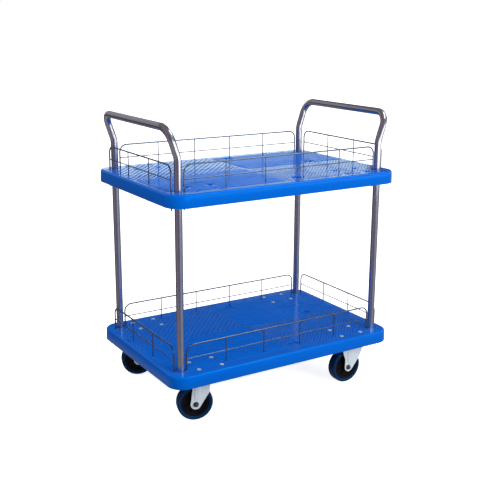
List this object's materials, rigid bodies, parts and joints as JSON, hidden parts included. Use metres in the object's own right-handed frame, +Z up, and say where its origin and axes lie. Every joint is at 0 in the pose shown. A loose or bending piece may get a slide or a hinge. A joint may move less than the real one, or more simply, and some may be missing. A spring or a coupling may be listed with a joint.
{
  "type": "two-tier platform cart",
  "caption": "Hand cart with two moulded decks one above the other, bent tube handles at both ends, low wire rails round each deck, and swivel and rigid casters.",
  "frame": {"origin": "middle of the whole cart's footprint, on the floor it stands on", "axes": "+X along the length, from the swivel casters to the rigid casters; +Y across; +Z up"},
  "size_m": [0.915, 0.61, 1.0221],
  "materials": {
    "deck_plastic": "moulded blue plastic, satin with a soft gloss, fine ribbed top",
    "stainless_tube": "polished stainless tube",
    "chrome_wire": "bright chrome wire",
    "zinc": "bright zinc-plated pressed steel",
    "tyre_rubber": "smooth blue-black rubber",
    "hub_plastic": "black moulded plastic"
  },
  "bodies": {
    "root": {"lower_deck": "deck_plastic", "upper_deck": "deck_plastic", "left_handle_frame": "stainless_tube", "right_handle_frame": "stainless_tube", "lower_front_rail": "chrome_wire", "lower_rear_rail": "chrome_wire", "lower_left_rail": "chrome_wire", "lower_right_rail": "chrome_wire", "upper_front_rail": "chrome_wire", "upper_rear_rail": "chrome_wire", "upper_left_rail": "chrome_wire", "upper_right_rail": "chrome_wire", "left_front_post_collar": "zinc", "left_front_foot_bolt": "zinc", "right_front_post_collar": "zinc", "right_front_foot_bolt": "zinc", "right_rear_post_collar": "zinc", "right_rear_foot_bolt": "zinc", "left_rear_post_collar": "zinc", "left_rear_foot_bolt": "zinc", "swivel_front_plate": "zinc", "swivel_front_kingpin": "zinc", "rigid_front_bracket": "zinc", "swivel_front_bolt_left_front": "zinc", "swivel_front_bolt_right_front": "zinc", "swivel_front_bolt_right_rear": "zinc", "swivel_front_bolt_left_rear": "zinc", "rigid_front_bolt_left_front": "zinc", "rigid_front_bolt_right_front": "zinc", "rigid_front_bolt_right_rear": "zinc", "rigid_front_bolt_left_rear": "zinc", "rigid_front_axle_bolt": "zinc", "rigid_front_axle_nut": "zinc", "swivel_rear_plate": "zinc", "swivel_rear_kingpin": "zinc", "rigid_rear_bracket": "zinc", "swivel_rear_bolt_left_front": "zinc", "swivel_rear_bolt_right_front": "zinc", "swivel_rear_bolt_right_rear": "zinc", "swivel_rear_bolt_left_rear": "zinc", "rigid_rear_bolt_left_front": "zinc", "rigid_rear_bolt_right_front": "zinc", "rigid_rear_bolt_right_rear": "zinc", "rigid_rear_bolt_left_rear": "zinc", "rigid_rear_axle_bolt": "zinc", "rigid_rear_axle_nut": "zinc"},
    "swivel_front_fork_body": {"swivel_front_fork": "zinc", "swivel_front_axle_bolt": "zinc", "swivel_front_axle_nut": "zinc"},
    "swivel_front_wheel": {"swivel_front_hub": "hub_plastic", "swivel_front_tyre": "tyre_rubber"},
    "rigid_front_wheel": {"rigid_front_hub": "hub_plastic", "rigid_front_tyre": "tyre_rubber"},
    "swivel_rear_fork_body": {"swivel_rear_fork": "zinc", "swivel_rear_axle_bolt": "zinc", "swivel_rear_axle_nut": "zinc"},
    "swivel_rear_wheel": {"swivel_rear_hub": "hub_plastic", "swivel_rear_tyre": "tyre_rubber"},
    "rigid_rear_wheel": {"rigid_rear_hub": "hub_plastic", "rigid_rear_tyre": "tyre_rubber"}
  },
  "joints": [
    {"name": "swivel_front_swivel", "type": "hinge", "parent": "root", "child": "swivel_front_fork_body", "pos_m": [-0.303, -0.228, 0.145], "axis": [0, 0, 1], "continuous": true},
    {"name": "swivel_front_wheel_spin", "type": "hinge", "parent": "swivel_front_fork_body", "child": "swivel_front_wheel", "pos_m": [-0.3403, -0.2166, 0.0625], "axis": [0.2924, 0.9563, 0], "continuous": true},
    {"name": "rigid_front_wheel_spin", "type": "hinge", "parent": "root", "child": "rigid_front_wheel", "pos_m": [0.299, -0.228, 0.0625], "axis": [0, 1, 0], "continuous": true},
    {"name": "swivel_rear_swivel", "type": "hinge", "parent": "root", "child": "swivel_rear_fork_body", "pos_m": [-0.303, 0.228, 0.145], "axis": [0, 0, 1], "continuous": true},
    {"name": "swivel_rear_wheel_spin", "type": "hinge", "parent": "swivel_rear_fork_body", "child": "swivel_rear_wheel", "pos_m": [-0.3403, 0.2394, 0.0625], "axis": [0.2924, 0.9563, 0], "continuous": true},
    {"name": "rigid_rear_wheel_spin", "type": "hinge", "parent": "root", "child": "rigid_rear_wheel", "pos_m": [0.299, 0.228, 0.0625], "axis": [0, 1, 0], "continuous": true}
  ]
}
